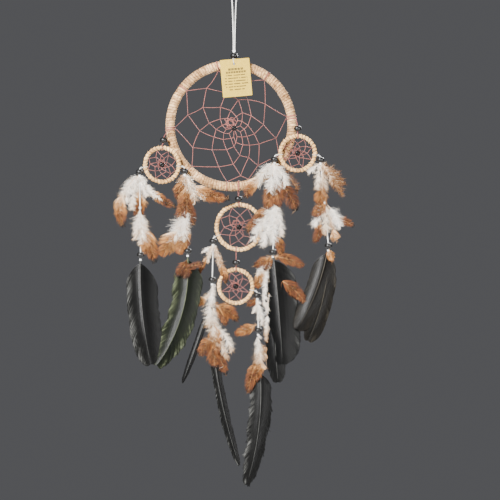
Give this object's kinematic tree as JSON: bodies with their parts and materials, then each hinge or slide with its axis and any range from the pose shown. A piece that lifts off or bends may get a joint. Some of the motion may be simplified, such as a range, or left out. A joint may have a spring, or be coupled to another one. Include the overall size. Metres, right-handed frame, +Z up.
{
  "type": "dream catcher",
  "caption": "Hanging dream catcher: lace-wrapped hoop with a thread web, smaller webbed rings hung from it, and beaded feather strands that swing.",
  "frame": {"origin": "inside top of the hanging loop", "axes": "+X to the right and +Z up as it hangs, front of the webs towards -Y"},
  "size_m": [0.29, 0.0225, 0.6077],
  "materials": {
    "white_cord": "matte",
    "red_thread": "satin",
    "suede_lace": "matte",
    "hoop_wood": "matte",
    "ring_wire": "satin",
    "black_bead": "gloss",
    "web_bead": "gloss",
    "tag_card": "matte",
    "soft_feather": "matte",
    "brown_feather": "matte",
    "black_feather": "satin"
  },
  "bodies": {
    "hanging_loop": {"hang_loop": "white_cord", "loop_knot": "white_cord"},
    "hanger": {"top_bead": "black_bead", "hanger_hitch": "white_cord"},
    "tag": {"tag_card": "tag_card", "tag_string": "white_cord"},
    "hoop": {"hoop_core": "hoop_wood", "hoop_wrap": "suede_lace", "hoop_web": "red_thread", "hoop_web_bead": "web_bead", "hoop_lashings": "red_thread"},
    "left_ring": {"left_core": "ring_wire", "left_wrap": "suede_lace", "left_web": "red_thread", "left_beads": "black_bead", "left_ties": "red_thread"},
    "right_ring": {"right_core": "ring_wire", "right_wrap": "suede_lace", "right_web": "red_thread", "right_beads": "black_bead", "right_ties": "red_thread"},
    "upper_ring": {"upper_core": "ring_wire", "upper_wrap": "suede_lace", "upper_web": "red_thread", "upper_beads": "black_bead", "upper_ties": "red_thread"},
    "lower_ring": {"lower_core": "ring_wire", "lower_wrap": "suede_lace", "lower_web": "red_thread", "lower_beads": "black_bead", "lower_ties": "red_thread"},
    "a_strand": {"a_cord": "white_cord", "a_beads": "black_bead", "a_top_feathers": "soft_feather"},
    "a_plume": {"a_long_feather": "black_feather"},
    "b_strand": {"b_cord": "white_cord", "b_beads": "black_bead", "b_top_feathers": "soft_feather"},
    "b_plume": {"b_low_feathers": "brown_feather", "b_long_feather": "black_feather"},
    "c_strand": {"c_cord": "white_cord", "c_beads": "black_bead", "c_top_feathers": "soft_feather"},
    "c_plume": {"c_low_feathers": "brown_feather", "c_long_feathers": "black_feather"},
    "d_strand": {"d_cord": "white_cord", "d_beads": "black_bead", "d_top_feathers": "soft_feather"},
    "d_plume": {"d_low_feathers": "brown_feather", "d_long_feather": "black_feather"},
    "e_strand": {"e_cord": "white_cord", "e_beads": "black_bead", "e_top_feathers": "soft_feather"},
    "e_plume": {"e_low_feather": "brown_feather", "e_long_feather": "black_feather"},
    "f_strand": {"f_cord": "white_cord", "f_beads": "black_bead", "f_top_feathers": "soft_feather"},
    "f_plume": {"f_low_feathers": "brown_feather", "f_long_feather": "black_feather"}
  },
  "joints": [
    {"name": "hoop_spin", "type": "hinge", "parent": "hanging_loop", "child": "hanger", "pos_m": [0, 0, -0.0735], "axis": [0, 0, 1], "continuous": true},
    {"name": "hoop_sway", "type": "hinge", "parent": "hanger", "child": "hoop", "pos_m": [0, 0, -0.08809], "axis": [0, 1, 0], "range_deg": [-12, 12]},
    {"name": "tag_swing", "type": "hinge", "parent": "hanger", "child": "tag", "pos_m": [0, -0.005, -0.0814], "axis": [1, 0, 0], "range_deg": [-50, 0]},
    {"name": "left_ring_swing", "type": "hinge", "parent": "hoop", "child": "left_ring", "pos_m": [-0.08, -0.0076, -0.1683], "axis": [1, 0, 0], "range_deg": [-40, 0]},
    {"name": "right_ring_swing", "type": "hinge", "parent": "hoop", "child": "right_ring", "pos_m": [0.0755, -0.0076, -0.1548], "axis": [1, 0, 0], "range_deg": [-40, 0]},
    {"name": "upper_ring_sway", "type": "hinge", "parent": "hoop", "child": "upper_ring", "pos_m": [0.0055, 0, -0.23743], "axis": [0, 1, 0], "range_deg": [-10, 10]},
    {"name": "lower_ring_twist", "type": "hinge", "parent": "upper_ring", "child": "lower_ring", "pos_m": [0.0025, 0, -0.3185], "axis": [0, 0, 1], "range_deg": [0, 40]},
    {"name": "a_strand_swing", "type": "hinge", "parent": "left_ring", "child": "a_strand", "pos_m": [-0.1136, -0.0105, -0.2154], "axis": [1, 0, 0], "range_deg": [-35, 35]},
    {"name": "a_plume_swing", "type": "hinge", "parent": "a_strand", "child": "a_plume", "pos_m": [-0.1141, -0.0105, -0.3264], "axis": [1, 0, 0], "range_deg": [-35, 35]},
    {"name": "b_strand_swing", "type": "hinge", "parent": "left_ring", "child": "b_strand", "pos_m": [-0.062, -0.0105, -0.2142], "axis": [1, 0, 0], "range_deg": [-35, 0]},
    {"name": "b_plume_swing", "type": "hinge", "parent": "b_strand", "child": "b_plume", "pos_m": [-0.0564, -0.0105, -0.3216], "axis": [1, 0, 0], "range_deg": [-35, 0]},
    {"name": "c_strand_swing", "type": "hinge", "parent": "upper_ring", "child": "c_strand", "pos_m": [-0.0239, 0, -0.3], "axis": [1, 0, 0], "range_deg": [-35, 35]},
    {"name": "c_plume_swing", "type": "hinge", "parent": "c_strand", "child": "c_plume", "pos_m": [-0.0268, 0, -0.3569], "axis": [1, 0, 0], "range_deg": [-35, 35]},
    {"name": "d_strand_swing", "type": "hinge", "parent": "right_ring", "child": "d_strand", "pos_m": [0.0514, -0.0105, -0.1999], "axis": [1, 0, 0], "range_deg": [-35, 0]},
    {"name": "d_plume_swing", "type": "hinge", "parent": "d_strand", "child": "d_plume", "pos_m": [0.0478, -0.0105, -0.3228], "axis": [1, 0, 0], "range_deg": [-35, 0]},
    {"name": "e_strand_swing", "type": "hinge", "parent": "right_ring", "child": "e_strand", "pos_m": [0.104, -0.0105, -0.2004], "axis": [1, 0, 0], "range_deg": [-35, 35]},
    {"name": "e_plume_swing", "type": "hinge", "parent": "e_strand", "child": "e_plume", "pos_m": [0.1155, -0.0105, -0.3152], "axis": [1, 0, 0], "range_deg": [-35, 35]},
    {"name": "f_strand_swing", "type": "hinge", "parent": "lower_ring", "child": "f_strand", "pos_m": [0.0268, 0, -0.3666], "axis": [1, 0, 0], "range_deg": [0, 35]},
    {"name": "f_plume_swing", "type": "hinge", "parent": "f_strand", "child": "f_plume", "pos_m": [0.03, 0, -0.419], "axis": [1, 0, 0], "range_deg": [0, 35]}
  ]
}
